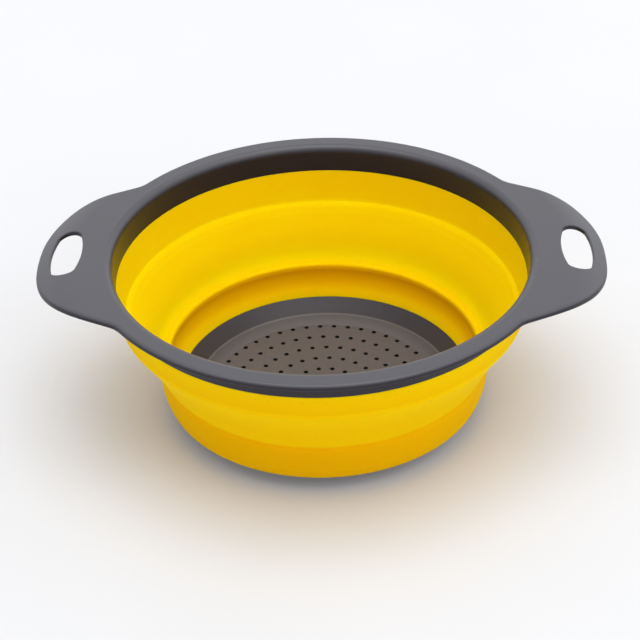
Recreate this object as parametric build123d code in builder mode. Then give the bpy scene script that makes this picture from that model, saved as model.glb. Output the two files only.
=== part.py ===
from build123d import *
import os
from math import atan2, cos, radians, sin, tan

# Collapsible colander, modelled open, in millimetres.
# The origin is on the table under the middle of the bowl, +X runs through the handles, +Z is up.
# A stiff rim frame and a stiff strainer base are joined by one soft wall. The wall is three
# bands, and the two thin folds between them let the rim drop round the base.

# Rim frame: flange, mouth, skirt
open_height = 93.3
flange_width = 13.4
flange_thickness = 2.8
flange_top_round = 2.1
flange_under_round = 0.4
mouth_round = 4.2
skirt_depth = 14.5
skirt_wall = 2.4
skirt_flare = 0.9
skirt_root_round = 6.0

# Handles: they run on from the rim like the brim of a hat, level first and then drooping
# In plan: an arc round the bowl at the tip, a tighter one at each corner, a straight side
handle_reach = 26.8
handle_tip_angle = 4.4
handle_corner_radius = 60.5
handle_corner_angle = 63.5
handle_join_round = 15.0
handle_level_width = 14.9
handle_droop_angle = 25.1
handle_bend_radius = 30.0

# Slot in each handle
slot_width = 15.8
slot_length = 41.0
slot_margin = 7.2
slot_side_bulge = 2.1
slot_end_bulge = 3.6
slot_corner_round = 4.5
slot_edge_round = 0.8

# Soft wall: how far it spreads above the lower band, and where its bands begin and end
bowl_spread = 18.6
upper_band_height = 16.9
upper_band_taper = 3.1
upper_band_curl = 1.1
upper_fold_drop = 1.8
upper_fold_tail = 1.6
fold_clearance = 0.4
middle_wall = 1.8
middle_foot_slant = 3.5
lower_band_width = 9.7
lower_band_height = 18.2
lower_band_foot_inset = 3.5
lower_band_lean = 4.4
lower_band_lip_inset = 1.8
lower_band_belly_share = 0.72
lower_fold_rise = 5.9
fold_web = 1.5
lip_round = 0.8
tongue_height = 4.0
tongue_wall = 1.0

# Middle band, from its foot to its shoulder: share of its radial width, share of its height
middle_band_shares = [(0.218, 0.243), (0.49, 0.566), (0.721, 0.867)]
middle_shoulder_share = (0.87, 0.985)

# Strainer base
foot_height = 1.2
foot_inset = 3.2
foot_width = 3.0
plate_thickness = 2.0
plate_radius = 69.2
plate_rim_width = 7.0
plate_rim_rise = 1.9
plate_step = 0.5
step_lean = 0.5
dish_flare = 9.1
dish_depth = 9.55
base_flange_width = 3.9
base_flange_thickness = 2.4

# Drain holes: one in the middle, and rings out to the foot
hole_diameter = 2.6
hole_first_ring = 9.0
hole_edge_margin = 2.75
hole_ring_count = 6
holes_in_first_ring = 8
hole_start_angle = 10.9

overrun = 5.0
# The largest edge roundings, as shares of the flange's thickness: on the flange's top, and on the slots
top_round_limit_share = 0.75
slot_round_limit_share = 0.45
# A face counts as upright where its normal rises by less than this
upright_share = 0.5

# Levels and radii worked out from the sizes above, from the plate outwards
dish_radius = plate_radius + dish_flare
lower_band_outer = dish_radius + lower_band_width
bowl_radius = lower_band_outer + bowl_spread
rim_radius = bowl_radius + flange_width
skirt_bottom = open_height - skirt_depth
flange_bottom = open_height - flange_thickness
skirt_outer = bowl_radius + skirt_wall
mouth_radius = bowl_radius + skirt_flare + mouth_round
handle_tip = rim_radius + handle_reach
handle_bend = rim_radius + handle_level_width
brim_end = handle_tip + overrun
brim_drop = (brim_end - handle_bend) * tan(radians(handle_droop_angle))
brim_floor = flange_bottom - brim_drop - overrun
tongue_inner = bowl_radius + (skirt_wall - tongue_wall) / 2
tongue_outer = tongue_inner + tongue_wall

top_round_limit = flange_thickness * top_round_limit_share
slot_round_limit = flange_thickness * slot_round_limit_share

plate_top = foot_height + plate_thickness
foot_radius = plate_radius - foot_inset
hole_last_ring = foot_radius - foot_width - hole_edge_margin
hole_ring_pitch = (hole_last_ring - hole_first_ring) / (hole_ring_count - 1)
dish_top = plate_top + dish_depth
base_flange_radius = dish_radius + base_flange_width
base_flange_bottom = dish_top - base_flange_thickness

upper_band_bottom = skirt_bottom - upper_band_height
upper_band_inner = bowl_radius - upper_band_taper
middle_outer_radius = upper_band_inner - fold_clearance
middle_foot_radius = lower_band_outer + fold_clearance
lower_band_top = dish_top + lower_band_height
lip_inner = dish_radius + lower_band_lean
lip_outer = lower_band_outer - lower_band_lip_inset
middle_foot = lower_band_top + lower_fold_rise
middle_top = upper_band_bottom - upper_fold_drop
middle_width = middle_outer_radius - middle_foot_radius
middle_height = middle_top - middle_foot
middle_lean = atan2(middle_width, middle_height)


def middle_inner_point(shares):
    """A point on the inside of the middle band, from its shares of the band's width and height."""
    width_share, height_share = shares
    return (middle_foot_radius + middle_width * width_share, middle_foot + middle_height * height_share)


def middle_outer_point(shares):
    """The same point carried out through the wall's thickness."""
    radius, height = middle_inner_point(shares)
    return (radius + middle_wall * cos(middle_lean), height - middle_wall * sin(middle_lean))


def arc_point(centre, radius, angle):
    """The point of an arc at an angle in degrees from +X."""
    return (centre[0] + radius * cos(radians(angle)), centre[1] + radius * sin(radians(angle)))


def is_upright(face):
    """Whether a face stands upright, judged at its middle."""
    return abs(face.normal_at().Z) < upright_share


def is_facing_up(face):
    """Whether a face looks upwards, judged at its middle."""
    return face.normal_at().Z > upright_share


def is_facing_down(face):
    """Whether a face looks downwards, judged at its middle."""
    return face.normal_at().Z < -upright_share


# Rim frame: a brim turned round the bowl and trimmed to a flange with two handles, and a skirt
with BuildPart() as rim_frame:
    with BuildSketch(Plane.XZ):
        with BuildLine():
            brim_top = FilletPolyline(
                (0, open_height),
                (handle_bend, open_height),
                (brim_end, open_height - brim_drop),
                radius=handle_bend_radius,
            )
            brim_bottom = FilletPolyline(
                (0, flange_bottom),
                (handle_bend, flange_bottom),
                (brim_end, flange_bottom - brim_drop),
                radius=handle_bend_radius,
            )
            Line(brim_top @ 0, brim_bottom @ 0)
            Line(brim_top @ 1, brim_bottom @ 1)
        make_face()
    revolve(axis=Axis.Z)

    bowl_centre = (0, 0)
    tip_middle = arc_point(bowl_centre, handle_tip, handle_tip_angle / 2)
    tip_end = arc_point(bowl_centre, handle_tip, handle_tip_angle)
    corner_centre = arc_point(bowl_centre, handle_tip - handle_corner_radius, handle_tip_angle)
    corner_middle_angle = (handle_tip_angle + handle_corner_angle) / 2
    corner_middle = arc_point(corner_centre, handle_corner_radius, corner_middle_angle)
    corner_end = arc_point(corner_centre, handle_corner_radius, handle_corner_angle)
    corner_turn = radians(handle_corner_angle - handle_tip_angle)
    side_reach = (handle_tip - handle_corner_radius) * cos(corner_turn) + handle_corner_radius
    side_end = arc_point(bowl_centre, side_reach, handle_corner_angle)
    with BuildSketch(mode=Mode.PRIVATE) as outline:
        Circle(rim_radius)
        with BuildLine():
            quarter = [
                ThreePointArc((handle_tip, 0), tip_middle, tip_end),
                ThreePointArc(tip_end, corner_middle, corner_end),
                Line(corner_end, side_end),
                Line(side_end, (0, side_end[1])),
            ]
            half = quarter + [mirror(edge, about=Plane.XZ) for edge in quarter]
            mirror(half, about=Plane.YZ)
        make_face()
        joins = outline.vertices().sort_by_distance(bowl_centre)[:4]
        fillet(joins, radius=handle_join_round)
    with BuildSketch(Plane.XY.offset(brim_floor)):
        add(outline.sketch)
    extrude(amount=open_height - brim_floor + overrun, mode=Mode.INTERSECT)
    flange_walls = rim_frame.faces().filter_by(is_upright)
    undersides = rim_frame.faces().filter_by(is_facing_down)
    fillet(flange_walls.edges() & undersides.edges(), radius=flange_under_round)
    flange_walls = rim_frame.faces().filter_by(is_upright)
    upper_sides = rim_frame.faces().filter_by(is_facing_up)
    fillet(flange_walls.edges() & upper_sides.edges(), radius=min(flange_top_round, top_round_limit))

    # The slots go straight through, wider at mid length than at their corners
    slot_centre = handle_tip - slot_margin - slot_width / 2
    side_x = slot_width / 2 - slot_side_bulge
    end_y = slot_length / 2 - slot_end_bulge
    with BuildSketch(mode=Mode.PRIVATE) as slot:
        with BuildLine():
            ThreePointArc((side_x, -end_y), (slot_width / 2, 0), (side_x, end_y))
            ThreePointArc((side_x, end_y), (0, slot_length / 2), (-side_x, end_y))
            ThreePointArc((-side_x, end_y), (-slot_width / 2, 0), (-side_x, -end_y))
            ThreePointArc((-side_x, -end_y), (0, -slot_length / 2), (side_x, -end_y))
        make_face()
        fillet(slot.vertices(), radius=slot_corner_round)
    with BuildSketch(Plane.XY.offset(brim_floor)):
        with Locations((slot_centre, 0), (-slot_centre, 0)):
            add(slot.sketch)
    extrude(amount=open_height - brim_floor + overrun, mode=Mode.SUBTRACT)
    slot_walls = rim_frame.faces(Select.LAST).filter_by(is_upright)
    slot_edges = slot_walls.edges().filter_by(Axis.Z, reverse=True)
    fillet(slot_edges, radius=min(slot_edge_round, slot_round_limit))

    # The skirt goes on solid, its top buried in the flange, and then the mouth is cut through both
    root_height = flange_bottom - skirt_root_round
    root_inner = skirt_outer + skirt_flare * (root_height - skirt_bottom) / skirt_depth
    buried_top = open_height - flange_thickness / 2
    with BuildSketch(Plane.XZ):
        with BuildLine():
            Polyline(
                (root_inner + skirt_root_round, flange_bottom),
                (root_inner + skirt_root_round, buried_top),
                (bowl_radius - overrun, buried_top),
                (bowl_radius - overrun, skirt_bottom),
                (tongue_inner, skirt_bottom),
                (tongue_inner, skirt_bottom - tongue_height),
                (tongue_outer, skirt_bottom - tongue_height),
                (tongue_outer, skirt_bottom),
                (skirt_outer, skirt_bottom),
                (root_inner, root_height),
            )
            RadiusArc(
                (root_inner, root_height),
                (root_inner + skirt_root_round, flange_bottom),
                skirt_root_round,
            )
        make_face()
    revolve(axis=Axis.Z)
    with BuildSketch(Plane.XZ):
        with BuildLine():
            Polyline(
                (bowl_radius + skirt_flare, open_height - mouth_round),
                (bowl_radius, skirt_bottom),
                (bowl_radius, skirt_bottom - overrun),
                (0, skirt_bottom - overrun),
                (0, open_height + overrun),
                (mouth_radius, open_height + overrun),
                (mouth_radius, open_height),
            )
            RadiusArc(
                (mouth_radius, open_height),
                (bowl_radius + skirt_flare, open_height - mouth_round),
                -mouth_round,
            )
        make_face()
    revolve(axis=Axis.Z, mode=Mode.SUBTRACT)
rim_frame.part.label = "rim_frame"

# Upper band: hangs from the skirt, round its tongue, down to the upper fold
with BuildPart() as wall_upper_band:
    curl_height = upper_band_bottom + upper_band_height / 3
    with BuildSketch(Plane.XZ):
        with BuildLine():
            band_inner = Spline(
                (bowl_radius, skirt_bottom),
                (upper_band_inner + upper_band_curl, curl_height),
                (upper_band_inner, upper_band_bottom),
            )
            band_outer = Spline(
                (skirt_outer, skirt_bottom),
                (upper_band_inner + upper_band_curl + skirt_wall, curl_height),
                (upper_band_inner + skirt_wall, upper_band_bottom + upper_band_curl),
            )
            Line(band_inner @ 1, band_outer @ 1)
            Polyline(
                (bowl_radius, skirt_bottom),
                (tongue_inner, skirt_bottom),
                (tongue_inner, skirt_bottom - tongue_height),
                (tongue_outer, skirt_bottom - tongue_height),
                (tongue_outer, skirt_bottom),
                (skirt_outer, skirt_bottom),
            )
        make_face()
    revolve(axis=Axis.Z)
wall_upper_band.part.label = "wall_upper_band"

# Upper fold: the rolled web under the upper band, over the shoulder of the middle band
with BuildPart() as upper_fold:
    fold_tip = middle_top - upper_fold_tail
    with BuildSketch(Plane.XZ):
        with BuildLine():
            Polyline(
                (upper_band_inner, fold_tip),
                (upper_band_inner, upper_band_bottom),
                (upper_band_inner + skirt_wall, upper_band_bottom + upper_band_curl),
            )
            ThreePointArc(
                (upper_band_inner + skirt_wall, upper_band_bottom + upper_band_curl),
                (upper_band_inner + fold_web, middle_top),
                (upper_band_inner, fold_tip),
            )
        make_face()
    revolve(axis=Axis.Z)
upper_fold.part.label = "upper_fold"

# Middle band: the cone that turns inside out when the colander is pressed flat
with BuildPart() as wall_middle_band:
    with BuildSketch(Plane.XZ):
        with BuildLine():
            cone_inner = Spline(
                (middle_foot_radius, middle_foot),
                *[middle_inner_point(shares) for shares in middle_band_shares],
                middle_inner_point(middle_shoulder_share),
                (middle_outer_radius, middle_top),
            )
            cone_outer = Spline(
                (middle_foot_radius, middle_foot - middle_foot_slant),
                *[middle_outer_point(shares) for shares in middle_band_shares],
                (middle_outer_radius, middle_top - upper_fold_tail),
            )
            Line(cone_inner @ 0, cone_outer @ 0)
            Line(cone_inner @ 1, cone_outer @ 1)
        make_face()
    revolve(axis=Axis.Z)
wall_middle_band.part.label = "wall_middle_band"

# Lower fold: the web that flares out from the lip to the foot of the middle band
with BuildPart() as lower_fold:
    web_radius = lower_band_outer
    with BuildSketch(Plane.XZ):
        with BuildLine():
            Polyline(
                (lip_outer - fold_web, lower_band_top),
                (web_radius, middle_foot - fold_clearance),
                (web_radius, middle_foot - middle_foot_slant),
                (lip_outer, lower_band_top),
                close=True,
            )
        make_face()
    revolve(axis=Axis.Z)
lower_fold.part.label = "lower_fold"

# Lower band: sits on the base's flange, wraps round its edge, and ends in a rounded lip
with BuildPart() as wall_lower_band:
    foot_outer = lower_band_outer - lower_band_foot_inset
    belly_height = base_flange_bottom + (lower_band_top - base_flange_bottom) * lower_band_belly_share
    with BuildSketch(Plane.XZ) as lower_section:
        with BuildLine():
            belly = (lower_band_outer, belly_height)
            TangentArc(belly, (foot_outer, base_flange_bottom), tangent=(0, -1))
            TangentArc(belly, (lip_outer, lower_band_top), tangent=(0, 1))
            Polyline(
                (lip_outer, lower_band_top),
                (lip_inner, lower_band_top),
                (dish_radius, dish_top),
                (base_flange_radius, dish_top),
                (base_flange_radius, base_flange_bottom),
                (foot_outer, base_flange_bottom),
            )
        make_face()
        fillet(lower_section.vertices().group_by(Axis.Y)[-1].sort_by(Axis.X)[0], radius=lip_round)
    revolve(axis=Axis.Z)
wall_lower_band.part.label = "wall_lower_band"

# Strainer base: a drilled plate on a low foot ring, dished up to a flange that carries the wall
with BuildPart() as strainer_base:
    step_radius = plate_radius + step_lean
    plate_rim_top = plate_top + plate_rim_rise
    step_top = plate_rim_top + plate_step
    with BuildSketch(Plane.XZ):
        with BuildLine():
            Polyline(
                (0, foot_height),
                (0, plate_top),
                (plate_radius - plate_rim_width, plate_top),
                (plate_radius, plate_rim_top),
                (step_radius, step_top),
                (dish_radius, dish_top),
                (base_flange_radius, dish_top),
                (base_flange_radius, base_flange_bottom),
                (dish_radius, base_flange_bottom),
                (step_radius, foot_height),
                (foot_radius, foot_height),
                (foot_radius, 0),
                (foot_radius - foot_width, 0),
                (foot_radius - foot_width, foot_height),
                close=True,
            )
        make_face()
    revolve(axis=Axis.Z)
    with BuildSketch(Plane.XY.offset(foot_height)):
        Circle(hole_diameter / 2)
        for ring in range(hole_ring_count):
            with PolarLocations(
                hole_first_ring + hole_ring_pitch * ring,
                holes_in_first_ring * (ring + 1),
                start_angle=hole_start_angle,
            ):
                Circle(hole_diameter / 2)
    extrude(amount=plate_thickness + plate_rim_rise, mode=Mode.SUBTRACT)
strainer_base.part.label = "strainer_base"

os.makedirs("parts", exist_ok=True)
export_step(rim_frame.part, "parts/rim_frame.step")
export_step(wall_upper_band.part, "parts/wall_upper_band.step")
export_step(upper_fold.part, "parts/upper_fold.step")
export_step(wall_middle_band.part, "parts/wall_middle_band.step")
export_step(lower_fold.part, "parts/lower_fold.step")
export_step(wall_lower_band.part, "parts/wall_lower_band.step")
export_step(strainer_base.part, "parts/strainer_base.step")
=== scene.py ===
from math import atan, ceil, cos, pi, radians, sin

import bpy
import numpy as np
from mathutils import Matrix, Vector


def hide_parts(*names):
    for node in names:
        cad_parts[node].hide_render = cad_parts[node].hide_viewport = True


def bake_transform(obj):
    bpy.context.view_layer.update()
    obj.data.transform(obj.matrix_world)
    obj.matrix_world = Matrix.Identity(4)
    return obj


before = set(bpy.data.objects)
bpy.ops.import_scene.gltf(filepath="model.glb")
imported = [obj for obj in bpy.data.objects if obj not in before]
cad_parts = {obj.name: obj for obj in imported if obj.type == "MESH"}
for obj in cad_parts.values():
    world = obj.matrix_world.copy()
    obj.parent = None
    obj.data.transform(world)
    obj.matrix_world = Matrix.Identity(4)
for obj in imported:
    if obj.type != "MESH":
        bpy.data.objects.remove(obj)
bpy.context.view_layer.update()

# Shapes are worked out in millimetres, and meshes are stored in metres.
MM = 0.001

# How far an arc turns between two of its points, at most
arc_step = radians(10)
# The longest run between two points of the wall's section, and how many faces go round it
wall_spacing = 0.9
wall_turns = 240
# Points of a section that are nearer than this count as one
same_point = 1e-6


# Section curves, as arrays of (radius, height)


def through(points, spacing=0.6):
    """A smooth curve through the points: the cubic spline whose second derivative is zero at both
    ends, with the length along the chords as its parameter."""
    knots = np.array(points, float)
    chords = np.hypot(*np.diff(knots, axis=0).T)
    at = np.concatenate([[0.0], np.cumsum(chords)])
    inner = len(knots) - 2
    matrix = np.eye(len(knots))
    right = np.zeros_like(knots)
    for row in range(1, inner + 1):
        before, after = chords[row - 1], chords[row]
        matrix[row, row - 1 : row + 2] = before / 6, (before + after) / 3, after / 6
        right[row] = (knots[row + 1] - knots[row]) / after - (knots[row] - knots[row - 1]) / before
    bend = np.linalg.solve(matrix, right)
    where = np.linspace(0.0, at[-1], max(3, ceil(at[-1] / spacing) + 1))
    span = np.clip(np.searchsorted(at, where, side="right") - 1, 0, inner)
    step = chords[span][:, None]
    ahead = ((where - at[span]) / chords[span])[:, None]
    back = 1.0 - ahead
    straight = back * knots[span] + ahead * knots[span + 1]
    curved = (back**3 - back) * bend[span] + (ahead**3 - ahead) * bend[span + 1]
    return straight + curved * step**2 / 6


def rounded(corners, spacing=0.6, closed=False):
    """Straight runs with an arc of its own radius at each corner. A corner is (radius, height,
    rounding). An arc of rounding q that turns by angle t starts q * tan(t / 2) before the corner."""
    places = np.array([corner[:2] for corner in corners], float)
    pieces = []
    count = len(places)
    for index, (place, corner) in enumerate(zip(places, corners)):
        rounding = corner[2]
        at_end = not closed and index in (0, count - 1)
        if at_end or rounding == 0:
            pieces.append(place[None, :])
            continue
        incoming = place - places[index - 1]
        outgoing = places[(index + 1) % count] - place
        incoming /= np.linalg.norm(incoming)
        outgoing /= np.linalg.norm(outgoing)
        turn = np.arctan2(incoming[0] * outgoing[1] - incoming[1] * outgoing[0], incoming @ outgoing)
        reach = rounding * np.tan(abs(turn) / 2)
        normal = np.sign(turn) * np.array([-incoming[1], incoming[0]])
        centre = place - incoming * reach + normal * rounding
        angles = np.linspace(0.0, turn, max(3, ceil(abs(turn) / arc_step) + 1))
        spokes = -normal * rounding
        arc = [
            spokes[0] * np.cos(angles) - spokes[1] * np.sin(angles),
            spokes[0] * np.sin(angles) + spokes[1] * np.cos(angles),
        ]
        pieces.append(centre + np.array(arc).T)
    path = np.concatenate(pieces)
    if closed:
        path = np.concatenate([path, path[:1]])
    return evenly(path, spacing)[: -1 if closed else None]


def evenly(path, spacing):
    """The same path, with each run longer than the spacing divided into equal parts."""
    pieces = []
    for start, end in zip(path[:-1], path[1:]):
        parts = max(1, ceil(np.linalg.norm(end - start) / spacing))
        share = np.arange(parts)[:, None] / parts
        pieces.append(start + (end - start) * share)
    return np.concatenate(pieces + [path[-1:]])


# Meshes


def grid_faces(rows, columns, wrap_rows, wrap_columns):
    """Quads over a grid of rows by columns, closed across either edge where it wraps."""
    row = np.arange(rows if wrap_rows else rows - 1)[:, None]
    column = np.arange(columns if wrap_columns else columns - 1)[None, :]
    next_row = (row + 1) % rows
    next_column = (column + 1) % columns
    corners = [
        row * columns + column,
        next_row * columns + column,
        next_row * columns + next_column,
        row * columns + next_column,
    ]
    return np.stack(corners, axis=-1).reshape(-1, 4)


def new_piece(name, points, faces, material):
    """A mesh from an array of points in millimetres and an array of quads."""
    mesh = bpy.data.meshes.new(name)
    mesh.from_pydata((points * MM).tolist(), [], faces.tolist())
    mesh.polygons.foreach_set("use_smooth", np.ones(len(mesh.polygons), bool))
    mesh.materials.append(material)
    mesh.update()
    piece = bpy.data.objects.new(name, mesh)
    bpy.context.scene.collection.objects.link(piece)
    return piece


def turned(name, section, material, turns):
    """A closed section turned about the Z axis: point (r, z) at angle a is (r cos a, r sin a, z).
    The section runs anticlockwise as seen with the radius to the right, so faces point outwards.
    Its third column, how much shade is painted into the colour, goes into the attribute "depth"."""
    angle = np.linspace(0.0, 2 * pi, turns, endpoint=False)[:, None]
    radius, height = section[:, 0][None, :], section[:, 1][None, :]
    points = np.stack([radius * np.cos(angle), radius * np.sin(angle), height + 0 * angle], axis=-1)
    faces = grid_faces(turns, len(section), True, True)
    piece = new_piece(name, points.reshape(-1, 3), faces[:, ::-1], material)
    depth = piece.data.attributes.new("depth", "FLOAT", "POINT")
    depth.data.foreach_set("value", np.tile(section[:, 2], turns))
    return piece


# Shaders

# The clouds in a moulded colour: how large they are in millimetres, how fine, and how much they and
# the grain change the gloss
cloud_size = 38
cloud_detail = 3.0
cloud_gloss = 0.1
grain_gloss = 0.06
grain_detail = 2.0
grain_crispness = 0.6


class Value:
    """An output socket with the sums that the materials need. Each sum adds one Math node."""

    def __init__(self, shader, socket):
        self.shader, self.socket = shader, socket

    def sum(self, operation, first, second):
        return self.shader.add("ShaderNodeMath", {"operation": operation}, {0: first, 1: second})

    def __add__(self, other):
        return self.sum("ADD", self, other)

    def __radd__(self, other):
        return self.sum("ADD", other, self)

    def __sub__(self, other):
        return self.sum("SUBTRACT", self, other)

    def __mul__(self, other):
        return self.sum("MULTIPLY", self, other)

    def __rmul__(self, other):
        return self.sum("MULTIPLY", other, self)


class Shader:
    """A node tree that is filled by calls: add() takes a node's type, settings and inputs."""

    def __init__(self, owner):
        owner.use_nodes = True
        self.tree = owner.node_tree
        self.tree.nodes.clear()

    def add(self, kind, settings=None, inputs=None, output=0):
        node = self.tree.nodes.new(kind)
        for key, value in (settings or {}).items():
            if key == "stops":
                self.set_stops(node, value)
            else:
                setattr(node, key, value)
        for key, value in (inputs or {}).items():
            if isinstance(value, Value):
                self.tree.links.new(value.socket, node.inputs[key])
            else:
                node.inputs[key].default_value = value
        return Value(self, node.outputs[output]) if node.outputs else node

    def set_stops(self, node, stops):
        """Stops are (position, grey level or colour)."""
        ramp = node.color_ramp.elements
        while len(ramp) < len(stops):
            ramp.new(0.5)
        for element, (position, colour) in zip(ramp, stops):
            element.position = position
            element.color = (colour,) * 3 + (1,) if isinstance(colour, float) else (*colour, 1)

    def place(self):
        return self.add("ShaderNodeTexCoord", output="Object")

    def noise(self, size_mm, detail, roughness=0.5):
        """Noise whose blobs are about this many millimetres across."""
        inputs = {
            "Vector": self.place(),
            "Scale": 1 / (size_mm * MM),
            "Detail": detail,
            "Roughness": roughness,
        }
        return self.add("ShaderNodeTexNoise", {}, inputs)

    def shade(self, first, second, mask):
        """Two colours, or a colour's socket and a colour, mixed by a mask."""
        node = self.tree.nodes.new("ShaderNodeMix")
        node.data_type = "RGBA"
        self.tree.links.new(mask.socket, node.inputs["Factor"])
        colours = [socket for socket in node.inputs if socket.type == "RGBA"]
        for socket, colour in zip(colours, (first, second)):
            if isinstance(colour, Value):
                self.tree.links.new(colour.socket, socket)
            else:
                socket.default_value = (*colour, 1)
        return Value(self, next(socket for socket in node.outputs if socket.type == "RGBA"))

    def ramp(self, value, start, end):
        """0 at the start, 1 at the end, smooth between them."""
        settings = {"interpolation_type": "SMOOTHSTEP"}
        return self.add("ShaderNodeMapRange", settings, {"Value": value, "From Min": start, "From Max": end})

    def upward(self):
        """The upward part of the surface's direction: 1 facing up, 0 on a wall."""
        facing = self.add("ShaderNodeTexCoord", output="Normal")
        return self.add("ShaderNodeSeparateXYZ", {}, {"Vector": facing}, output="Z")

    def height(self):
        """How high a point is, in metres."""
        return self.add("ShaderNodeSeparateXYZ", {}, {"Vector": self.place()}, output="Z")

    def radius(self):
        """How far a point is from the Z axis, in metres."""
        level = self.add("ShaderNodeVectorMath", {"operation": "MULTIPLY"}, {0: self.place(), 1: (1, 1, 0)})
        return self.add("ShaderNodeVectorMath", {"operation": "LENGTH"}, {0: level}, output="Value")


def moulded(name, dark, light, roughness, grain_mm, grain_height_mm, settings, zones=()):
    """Moulded plastic or rubber: a cloudy colour between two close shades, a fine grain in its
    surface, and a gloss that changes a little from place to place. Each zone is a colour and the
    mask that it fills."""
    material = bpy.data.materials.new(name)
    shader = Shader(material)
    clouds = shader.noise(cloud_size, cloud_detail)
    grain = shader.noise(grain_mm, grain_detail, grain_crispness)
    bump = shader.add(
        "ShaderNodeBump",
        {},
        {"Height": grain, "Distance": grain_height_mm * MM, "Strength": 1.0},
    )
    colour = shader.shade(dark, light, clouds)
    for zone_colour, mask in zones:
        colour = shader.shade(colour, zone_colour, mask(shader))
    inputs = {
        "Base Color": colour,
        "Roughness": roughness + cloud_gloss * (clouds - 0.5) + grain_gloss * (grain - 0.5),
        "Normal": bump,
        **settings,
    }
    surface = shader.add("ShaderNodeBsdfPrincipled", {"subsurface_method": "RANDOM_WALK"}, inputs)
    shader.add("ShaderNodeOutputMaterial", {}, {"Surface": surface})
    return material


def rim_wall_shade_mask(shader):
    """1 on walls and edges, 0 where the surface faces up. The rim's walls and edges are painted darker with
    it: painted shade.
    """
    return shader.ramp(shader.upward(), 0.93, 0.3)


def rubber_shade_mask(shader):
    """How much shade is painted into the wall's colour, as its own attribute says: painted shade, a deeper
    orange where the wall lies in shade.
    """
    return shader.add("ShaderNodeAttribute", {"attribute_name": "depth"}, output="Fac")


def hole_shade_mask(shader):
    """1 on the walls of the strainer base's drain holes, 0 on every level face and past the holes. The hole
    walls are painted near black with it: painted shade.
    """
    upward = shader.upward()
    return shader.ramp(upward * upward, 0.6, 0.2) * shader.ramp(shader.radius(), 62.5 * MM, 62 * MM)


def plate_edge_shade_mask(shader):
    """1 at the edge of the strainer base's plate, 0 inside its border. The plate's edge is painted darker
    with it: painted shade.
    """
    return shader.ramp(shader.radius(), 61 * MM, 69 * MM)


def cone_shade_mask(shader):
    """1 on the strainer base's cone, 0 on its plate. The cone is painted darker with it: painted shade."""
    return shader.ramp(shader.height(), 5.4 * MM, 5.9 * MM)


def step_highlight_mask(shader):
    """1 on the fine step at the foot of the cone, which is painted lighter with it: a painted highlight."""
    height = shader.height()
    return shader.ramp(height, 5.05 * MM, 5.2 * MM) * shader.ramp(height, 6.0 * MM, 5.7 * MM)


rim_plastic = moulded(
    "rim_plastic",
    dark=(0.082, 0.081, 0.092),
    light=(0.092, 0.091, 0.103),
    roughness=0.35,
    grain_mm=0.5,
    grain_height_mm=0.006,
    settings={"Specular IOR Level": 0.4},
    # Walls and edges painted darker than the top: painted shade
    zones=[((0.012, 0.009, 0.016), rim_wall_shade_mask)],
)
base_plastic = moulded(
    "base_plastic",
    dark=(0.091, 0.086, 0.097),
    light=(0.104, 0.098, 0.109),
    roughness=0.45,
    grain_mm=0.5,
    grain_height_mm=0.012,
    settings={"Specular IOR Level": 0.5},
    zones=[
        # Painted shade at the plate's edge, beside the cone
        ((0.070, 0.066, 0.074), plate_edge_shade_mask),
        # Painted shade on the cone
        ((0.032, 0.027, 0.036), cone_shade_mask),
        # A painted highlight on the step at the cone's foot
        ((0.119, 0.112, 0.116), step_highlight_mask),
        # Painted shade in the drain holes
        ((0.006, 0.005, 0.006), hole_shade_mask),
    ],
)
wall_rubber = moulded(
    "wall_rubber",
    dark=(0.970, 0.620, 0.001),
    light=(0.990, 0.680, 0.002),
    roughness=0.50,
    grain_mm=0.7,
    grain_height_mm=0.008,
    settings={
        "IOR": 1.06,
        "Specular IOR Level": 0.3,
        "Specular Tint": (1.0, 0.82, 0.25, 1),
        "Subsurface Weight": 0.6,
        "Subsurface Radius": (1.0, 0.7, 0.05),
        "Subsurface Scale": 0.004,
    },
    # The deeper orange is painted shade, laid where the wall lies in shade
    zones=[((0.815, 0.435, 0.001), rubber_shade_mask)],
)


# The soft wall is one moulding, from the base's flange up to the skirt


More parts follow.
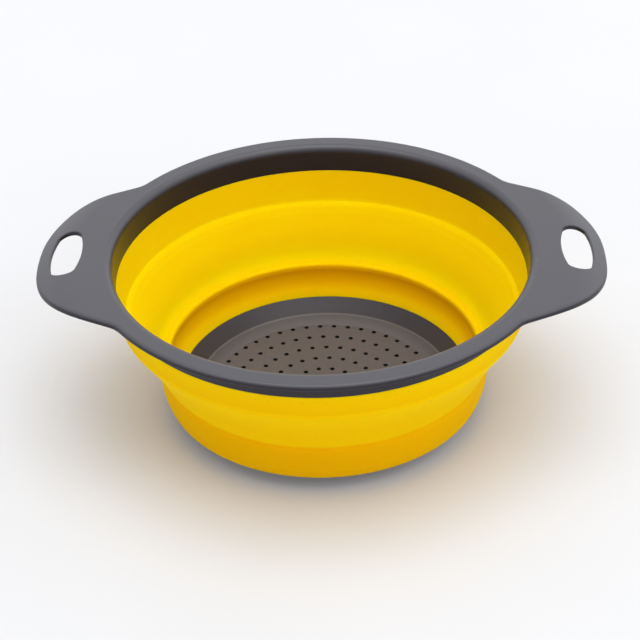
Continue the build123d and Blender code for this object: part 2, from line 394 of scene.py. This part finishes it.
def wall_section():
    """The wall's closed section: up the inside, over the top joint, and down the outside. Each
    stretch has the painted shade of its colour at its start and end: a deeper orange where the wall lies in
    shade, on its lower parts inside and out."""
    inside_foot = rounded(
        [(82.2, 12.75, 0), (78.6, 12.3, 0), (77.55, 11.8, 0), (77.5, 12.4, 0.15), (79.6, 15.0, 0)], 0.4
    )
    inside_lower = through([(79.6, 15.0), (81.5, 17.9), (82.7, 21.6), (83.0, 24.8), (82.6, 27.6)])
    lip = rounded(
        [(82.6, 27.6, 0), (82.35, 31.0, 1.6), (85.2, 31.1, 0.5), (85.75, 30.6, 0.35), (87.0, 32.2, 0)], 0.25
    )
    flare = through(
        [(87.0, 32.2), (88.3, 34.3), (89.35, 37.0), (90.5, 40.4), (92.4, 45.0), (95.3, 50.2), (98.6, 55.3)]
    )
    shoulder = rounded([(98.6, 55.3, 0), (101.3, 59.5, 7.0), (103.35, 60.6, 1.0), (104.0, 63.6, 0)], 0.3)
    inside_upper = through([(104.0, 63.6), (104.8, 67.6), (105.6, 72.5), (106.6, 78.8)])
    outside_upper = through([(109.0, 78.8), (108.15, 74.0), (107.35, 69.5), (106.9, 66.6)])
    crease = rounded([(106.9, 66.6, 0), (106.4, 63.9, 2.4), (104.3, 60.9, 0)], 0.3)
    cone = through(
        [(104.3, 60.9), (102.2, 57.8), (99.0, 52.9), (95.3, 46.9), (92.2, 41.2), (90.2, 36.9), (89.2, 34.5)]
    )
    notch = rounded(
        [(89.2, 34.5, 0), (88.2, 32.3, 0.9), (87.2, 32.0, 0.3), (87.9, 29.0, 0.8), (87.8, 25.6, 0)], 0.3
    )
    outside_lower = through([(87.8, 25.6), (87.2, 20.0), (86.3, 15.2), (85.1, 11.6)])
    heel = rounded([(85.1, 11.6, 0), (84.5, 10.35, 0.5), (82.2, 10.35, 0)])
    # Each stretch with how much shade is painted into its colour at its start and end
    stretches = [
        (inside_foot, 0.3, 0.3),
        (inside_lower, 0.2, 0.9),
        (lip, 0.4, 0.0),
        (flare, 0.0, 0.1),
        (shoulder, 0.0, 0.1),
        (inside_upper, 0.0, 0.05),
        (outside_upper, 0.2, 0.6),
        (crease, 0.4, 0.4),
        (cone, 0.4, 0.6),
        (notch, 0.7, 1.0),
        (outside_lower, 1.0, 1.0),
        (heel, 1.0, 1.0),
    ]
    joined = np.concatenate(
        [np.column_stack([line, np.linspace(first, last, len(line))]) for line, first, last in stretches]
    )
    apart = np.hypot(*(joined - np.roll(joined, 1, axis=0)).T[:2]) > same_point
    return evenly(np.concatenate([joined[apart], joined[apart][:1]]), wall_spacing)[:-1]


wall = turned("wall", wall_section(), wall_rubber, wall_turns)
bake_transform(wall)
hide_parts("wall_lower_band", "lower_fold", "wall_middle_band", "upper_fold", "wall_upper_band")

for node, material in (("rim_frame", rim_plastic), ("strainer_base", base_plastic)):
    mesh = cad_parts[node].data
    mesh.materials.clear()
    mesh.materials.append(material)


# Floor, light and camera


def pale_floor():
    """A plain pale floor, a little glossy, with faint clouds in its colour."""
    material = bpy.data.materials.new("pale_floor")
    shader = Shader(material)
    clouds = shader.noise(160, detail=4.0)
    mask = shader.add("ShaderNodeValToRGB", {"stops": [(0.35, 0.0), (0.75, 1.0)]}, {"Fac": clouds})
    inputs = {
        "Base Color": shader.shade((0.770, 0.775, 0.790), (0.790, 0.795, 0.810), mask),
        "Roughness": 0.35,
        "Specular IOR Level": 0.1,
    }
    surface = shader.add("ShaderNodeBsdfPrincipled", {}, inputs)
    shader.add("ShaderNodeOutputMaterial", {}, {"Surface": surface})
    return material


floor_half = 2500.0
floor_points = np.array([(-1, -1, 0), (1, -1, 0), (1, 1, 0), (-1, 1, 0)]) * floor_half
floor = new_piece("floor", floor_points, np.array([[0, 1, 2, 3]]), pale_floor())


def soft_room(strength, tilt):
    """Light from all round: a wide panel overhead and a low band of panels about the table, with
    dimmer walls between. Each level goes with the sine of the angle above the horizon. The room is
    brighter by the share "tilt" on the right, and as much dimmer on the left."""
    world = bpy.data.worlds.new("room")
    bpy.context.scene.world = world
    shader = Shader(world)
    outward = shader.add("ShaderNodeTexCoord", output="Generated")
    rise = shader.add("ShaderNodeSeparateXYZ", {}, {"Vector": outward}, output="Z")
    low_band = [(0, 0.30), (0.17, 0.33), (0.42, 0.38), (0.57, 0.31)]
    overhead = [(0.7, 0.17), (0.82, 0.2), (0.9, 0.52), (0.96, 0.98)]
    stops = [(at, (0.97 * level, 0.98 * level, level)) for at, level in low_band + overhead]
    share = shader.add("ShaderNodeValToRGB", {"stops": stops}, {"Fac": rise})
    sideways = shader.add("ShaderNodeSeparateXYZ", {}, {"Vector": outward}, output="X")
    level = strength + sideways * (strength * tilt)
    light = shader.add("ShaderNodeBackground", {}, {"Color": share, "Strength": level})
    shader.add("ShaderNodeOutputWorld", {}, {"Surface": light})


def soft_box(name, place, aim, size, power, colour):
    """A square lamp at a place in metres that faces an aim."""
    data = bpy.data.lights.new(name, "AREA")
    data.color = colour
    data.shape = "SQUARE"
    data.size, data.energy = size, power
    lamp = bpy.data.objects.new(name, data)
    lamp.location = place
    lamp.rotation_euler = (Vector(aim) - Vector(place)).to_track_quat("-Z", "Y").to_euler()
    bpy.context.scene.collection.objects.link(lamp)


soft_room(3.08, tilt=0.15)
soft_box(
    "window",
    place=(0.9, -0.9, 1.5),
    aim=(0, 0, 0.05),
    size=0.9,
    power=3.5,
    colour=(1.0, 0.97, 0.92),
)

# The camera: how far it is, how high it looks from, and where on the picture its aim point lies
picture = 640
focal_pixels = 1846.93
sensor_mm = 36.0
camera_distance = 0.99999
camera_elevation = radians(36.203)
camera_azimuth = radians(1.93)
camera_roll = radians(1.7266)
aim_height = 9.35 * MM
aim_pixel = (322.741, 380.230)


def camera_matrix():
    """Looks at the aim point, then pans and tilts until that point falls on its pixel, then rolls."""
    forward = Vector((0, cos(camera_elevation), -sin(camera_elevation)))
    right = Vector((1, 0, 0))
    up = right.cross(forward)
    place = Vector((0, 0, aim_height)) - forward * camera_distance
    pan = atan((aim_pixel[0] - picture / 2) / focal_pixels)
    tilt = atan((aim_pixel[1] - picture / 2) / focal_pixels)
    across = cos(pan) * right + sin(pan) * forward
    level = cos(pan) * forward - sin(pan) * right
    upward = cos(tilt) * up - sin(tilt) * level
    ahead = sin(tilt) * up + cos(tilt) * level
    side = cos(camera_roll) * across - sin(camera_roll) * upward
    top = sin(camera_roll) * across + cos(camera_roll) * upward
    turn = Matrix((side, top, -ahead)).transposed().to_4x4()
    return Matrix.Rotation(camera_azimuth, 4, "Z") @ Matrix.Translation(place) @ turn


camera_data = bpy.data.cameras.new("camera")
camera_data.sensor_width = sensor_mm
camera_data.lens = sensor_mm * focal_pixels / picture
camera = bpy.data.objects.new("camera", camera_data)
camera.matrix_world = camera_matrix()
bpy.context.scene.collection.objects.link(camera)
bpy.context.scene.camera = camera
bpy.context.scene.view_settings.view_transform = "Standard"
